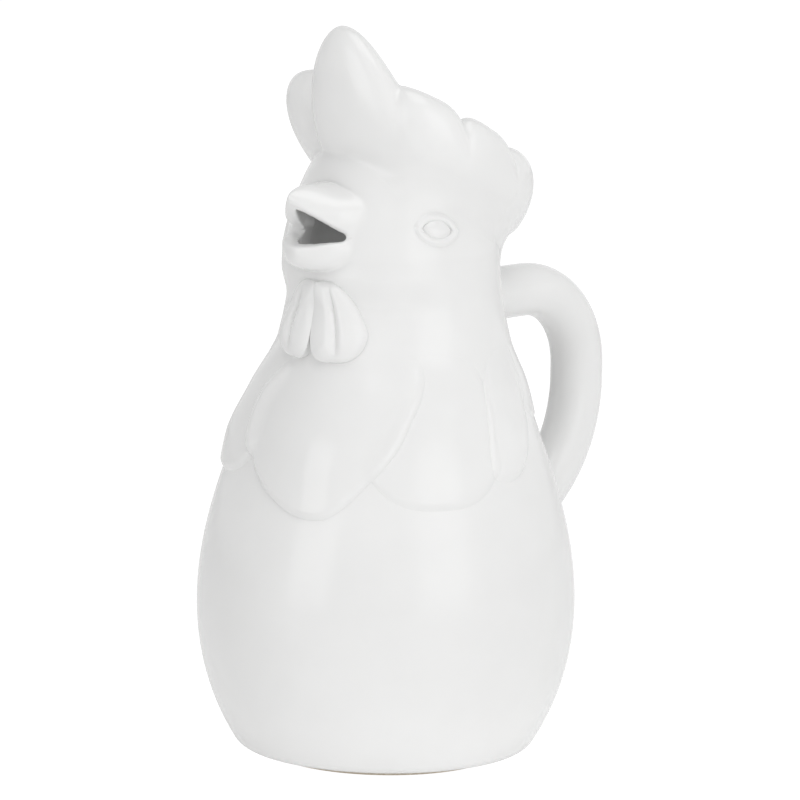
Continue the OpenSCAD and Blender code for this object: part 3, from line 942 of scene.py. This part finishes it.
class Feather:
    """One feather on the wall, in degrees and height."""

    def __init__(self, k):
        self.k = k
        self.turn = feather_turns[k]
        self.half = feather_halves[k]
        self.mid_z = joint_z * (feather_top_share + feather_low_shares[k]) / 2
        self.half_z = joint_z * (feather_top_share - feather_low_shares[k]) / 2
        rim = [self.edge(math.tau * i / rim_places) for i in range(rim_places)]
        self.rim = sorted(self.polar(a, z) for a, z in rim)

    def edge(self, t):
        """A point of the rim, from the top round to the bird's left."""
        k, c, s = self.k, math.cos(t), math.sin(t)
        flare = 1 + feather_flares[k] * c
        side = self.half * signed_power(s, 2 / feather_bends[k]) * flare
        return (self.turn + feather_leans[k] * c + feather_bows[k] * c * c + side,
                self.mid_z + self.half_z * signed_power(c, 2 / feather_bends[k]))

    def polar(self, a, z):
        """Direction and distance from the feather's middle, in shares of its half sizes."""
        x = (a - self.turn) / self.half
        y = (z - self.mid_z) / self.half_z
        return math.atan2(x, y), math.hypot(x, y)

    def share(self, a, z):
        """0 at the feather's middle, 1 at its rim and more outside it."""
        a = (a - self.turn + 180) % 360 - 180 + self.turn
        angle, far = self.polar(a, z)
        after = bisect.bisect(self.rim, (angle, 0)) % rim_places
        (a_before, r_before), (a_after, r_after) = self.rim[after - 1], self.rim[after]
        span = (a_after - a_before) % math.tau
        part = ((angle - a_before) % math.tau) / span if span else 0
        return far / mix(r_before, r_after, part)

    def slab(self, z, q):
        """Thickness of the slab itself, with its rounded rim."""
        fade = eased(z, fade_top_z, fade_top_z - fade_depth)
        body = mix(feather_t, rim_t, q * q)
        size = (self.half / full_half + 1) / 2
        in_from_rim = min(1, max(0, (1 - q) * rim_far * size / rim_round))
        rim_share = math.sin(math.pi / 2 * in_from_rim) ** rim_bend
        return feather_full_shares[self.k] * body * rim_share * fade

    def height(self, a, z, q):
        """Height over the wall, less where other feathers lie on it."""
        out = self.slab(z, q)
        for k in laid_over[self.k]:
            tucked = (1 - feathers[k].share(a, z)) * rim_far
            out *= 1 - eased(tucked, 0, tuck_w)
        return out

    def place(self, turn, q, face):
        """A point of the feather's face, over the feathers that lie under it, or of its back."""
        a, z = self.edge(turn)
        a, z = mix(self.turn, a, q), mix(self.mid_z, z, q)
        if not face:
            return round_point(math.radians(a), z, wall_r(z) - feather_back_in)
        below = 0
        for other in feathers:
            if self.k in laid_over[other.k]:
                share = other.share(a, z)
                below = max(below, other.height(a, z, share) if share < 1 else 0)
        out = self.height(a, z, q) + below - feather_toe
        return round_point(math.radians(a), z, wall_r(z) + out)


feathers = [Feather(k) for k in range(len(feather_names))]
for feather, name in zip(feathers, feather_names):
    finished("cape_" + name, "feather_" + name, relief(feather.place), glaze, toe_seam,
             crease=pad_crease)

# The handle
# A round pulled coil bent into a loop. Its ends are luted to the neck and the belly and the
# clay is smoothed out round them.

handle_r = 9.75 * MM
handle_top_z = 163.5 * MM
handle_back_y = 101.25 * MM
handle_straight_z = [132.5 * MM, 127.5 * MM]
bend_r = handle_top_z - handle_straight_z[0]
sweep_r = 53 * MM
sweep_turn = math.radians(80)
root_fillets = [9.5 * MM, 7.5 * MM]
root_start = 20 * MM
root_step = 0.1 * MM
root_sink = 1 * MM
coil_rounds, coil_steps, root_steps = 64, 92, 10
arm_far = handle_back_y - bend_r
bend_far = bend_r * math.pi / 2
straight_far = handle_straight_z[0] - handle_straight_z[1]
handle_far = arm_far + bend_far + straight_far + sweep_r * sweep_turn


def coil_middle(s):
    """Middle of the coil and its outward direction in the handle's plane, along its path."""
    if s < arm_far:
        return Vector((0, s, handle_top_z)), Vector((0, 0, 1))
    s -= arm_far
    if s < bend_far:
        a = s / bend_r
        out = Vector((0, math.sin(a), math.cos(a)))
        return Vector((0, arm_far, handle_straight_z[0])) + out * bend_r, out
    s -= bend_far
    if s < straight_far:
        return Vector((0, handle_back_y, handle_straight_z[0] - s)), Vector((0, 1, 0))
    a = (s - straight_far) / sweep_r
    out = Vector((0, math.cos(a), -math.sin(a)))
    return Vector((0, handle_back_y - sweep_r, handle_straight_z[1])) + out * sweep_r, out


def coil_point(s, turn):
    """A point of the coil's skin, at a place along it and a turn round it."""
    mid, out = coil_middle(s)
    return mid + out * (handle_r * math.cos(turn)) + Vector((handle_r * math.sin(turn), 0, 0))


def on_wall(co):
    """The point moved level to the wall."""
    return at_radius(co, wall_r(co.z))


def root_curve(turn, s, way, reach):
    """Points from just under the wall up a round fillet to the coil's skin, for the root that a
    walk from inside the pitcher comes out of, and where along the coil they end."""
    while above_wall(coil_point(s, turn)) < 0:
        s += way * root_step
    meet = on_wall(coil_point(s, turn))
    out = meet - coil_middle(s)[0]
    n = wall_normal(meet)
    out = (out - n * out.dot(n)).normalized()
    under = on_wall(meet + out * (reach + root_sink))
    under -= wall_normal(under) * root_sink
    end = s + way * reach
    return [under] + fillet(on_wall(meet + out * reach), meet, coil_point(end, turn), root_steps), end


coil = []
for i in range(coil_rounds):
    turn = math.tau * i / coil_rounds
    top, s_top = root_curve(turn, root_start, 1, root_fillets[0])
    low, s_low = root_curve(turn, handle_far, -1, root_fillets[1])
    line = [coil_point(mix(s_top, s_low, j / coil_steps), turn) for j in range(1, coil_steps)]
    coil.append(top + line + low[::-1])
bm = laid(coil_rounds, len(coil[0]) - 1, lambda i, j: coil[i % coil_rounds][j])
finished("handle_coil", "handle", closed(bm), glaze,
         lambda co, own: wall_seam(co, own, pinned))

# The studio
# The pitcher stands on a white floor in a white room. Soft boxes on both sides, above and behind
# light it, and the camera looks at it from its left front through a long lens.

look_turn = 44
look_rise = 9.5
look_far = 2.0
look_roll = 0.9
lens_length = 247.95
sensor_w = 36
lens_shift = (0.01375, -0.0181)
target = Vector((0, 0, 135 * MM))
pure_white = (1, 1, 1, 1)
floor_paint = (0.9, 0.9, 0.9, 1)
room_light = 0.42
floor_glow = 0.22
floor_white = 1.1
floor_white_share = 0.88
floor_half = 6


def towards(turn, rise):
    """Direction from the target to a place that is a turn round it and a rise above it."""
    a, e = math.radians(turn), math.radians(rise)
    return Vector((math.sin(a) * math.cos(e), -math.cos(a) * math.cos(e), math.sin(e)))


def facing(turn, rise):
    """The turn of a camera or lamp that looks back at the target from there."""
    return (-towards(turn, rise)).to_track_quat("-Z", "Y")


lens = bpy.data.cameras.new("camera")
lens.lens = lens_length
lens.sensor_width = sensor_w
lens.shift_x, lens.shift_y = lens_shift
camera = bpy.data.objects.new("camera", lens)
roll = Matrix.Rotation(math.radians(look_roll), 3, "Z")
camera.matrix_world = (Matrix.Translation(target + towards(look_turn, look_rise) * look_far)
                       @ (facing(look_turn, look_rise).to_matrix() @ roll).to_4x4())
bpy.context.scene.collection.objects.link(camera)
bpy.context.scene.camera = camera


def soft_box(name, turn, rise, far, wide, tall, strength, mirrored=True):
    """A lamp aimed at the pitcher. Mirrored says whether the glaze shows its reflection."""
    lamp = bpy.data.lights.new(name, "AREA")
    lamp.shape = "RECTANGLE"
    lamp.size, lamp.size_y = wide, tall
    lamp.energy = strength * math.pi * wide * tall
    box = bpy.data.objects.new(name, lamp)
    box.location = target + towards(turn, rise) * far
    box.rotation_euler = facing(turn, rise).to_euler()
    box.visible_glossy = mirrored
    bpy.context.scene.collection.objects.link(box)


soft_box("soft_box_right", look_turn + 36, rise=12, far=1.5, wide=0.85, tall=1.3, strength=0.7)
soft_box("fill_right", look_turn + 34, rise=12, far=1.5, wide=0.85, tall=1.3, strength=1.3,
         mirrored=False)
soft_box("soft_box_left", look_turn - 46, rise=12, far=1.5, wide=0.7, tall=1.3, strength=1.15)
soft_box("soft_box_top", look_turn + 10, rise=72, far=1.6, wide=1.2, tall=1.2, strength=1.6)
soft_box("soft_box_back", look_turn + 105, rise=8, far=1.8, wide=1.2, tall=1.4, strength=0.56,
         mirrored=False)


def larger(tree, first, second):
    """The larger one of two values."""
    step = tree.nodes.new("ShaderNodeMath")
    step.operation = "MAXIMUM"
    tree.links.new(first, step.inputs[0])
    tree.links.new(second, step.inputs[1])
    return step.outputs["Value"]


def shared(tree, share, plain, other, output):
    """Sends a mix of two shaders to the output, by the share of the second one."""
    choose = tree.nodes.new("ShaderNodeMixShader")
    tree.links.new(share, choose.inputs["Fac"])
    tree.links.new(plain, choose.inputs[1])
    tree.links.new(other, choose.inputs[2])
    tree.links.new(choose.outputs["Shader"], tree.nodes[output].inputs["Surface"])


world = bpy.data.worlds.new("white_room")
bpy.context.scene.world = world
world.use_nodes = True
tree = world.node_tree
room = tree.nodes["Background"]
room.inputs["Color"].default_value = pure_white
room.inputs["Strength"].default_value = room_light
white = tree.nodes.new("ShaderNodeBackground")
white.inputs["Color"].default_value = pure_white
white.inputs["Strength"].default_value = 1
ray = tree.nodes.new("ShaderNodeLightPath").outputs
seen = larger(tree, ray["Is Camera Ray"], ray["Is Transmission Ray"])
seen = larger(tree, seen, ray["Is Glossy Ray"])
shared(tree, seen, room.outputs["Background"], white.outputs["Background"], "World Output")

mat = bpy.data.materials.new("white_floor")
mat.use_nodes = True
tree = mat.node_tree
paint = tree.nodes["Principled BSDF"]
paint.inputs["Base Color"].default_value = floor_paint
paint.inputs["Roughness"].default_value = 0.6
paint.inputs["Emission Color"].default_value = pure_white
paint.inputs["Emission Strength"].default_value = floor_glow
lit = tree.nodes.new("ShaderNodeEmission")
lit.inputs["Color"].default_value = pure_white
lit.inputs["Strength"].default_value = floor_white
ray = tree.nodes.new("ShaderNodeLightPath").outputs
part = tree.nodes.new("ShaderNodeMath")
part.operation = "MULTIPLY"
part.inputs[1].default_value = floor_white_share
tree.links.new(ray["Is Camera Ray"], part.inputs[0])
shared(tree, part.outputs["Value"], paint.outputs["BSDF"], lit.outputs["Emission"],
       "Material Output")

bm = bmesh.new()
bmesh.ops.create_grid(bm, x_segments=1, y_segments=1, size=floor_half)
mesh = bpy.data.meshes.new("floor")
bm.to_mesh(mesh)
bm.free()
ground = bpy.data.objects.new("floor", mesh)
bpy.context.scene.collection.objects.link(ground)
mesh.materials.append(mat)

bpy.context.scene.view_settings.view_transform = "Standard"
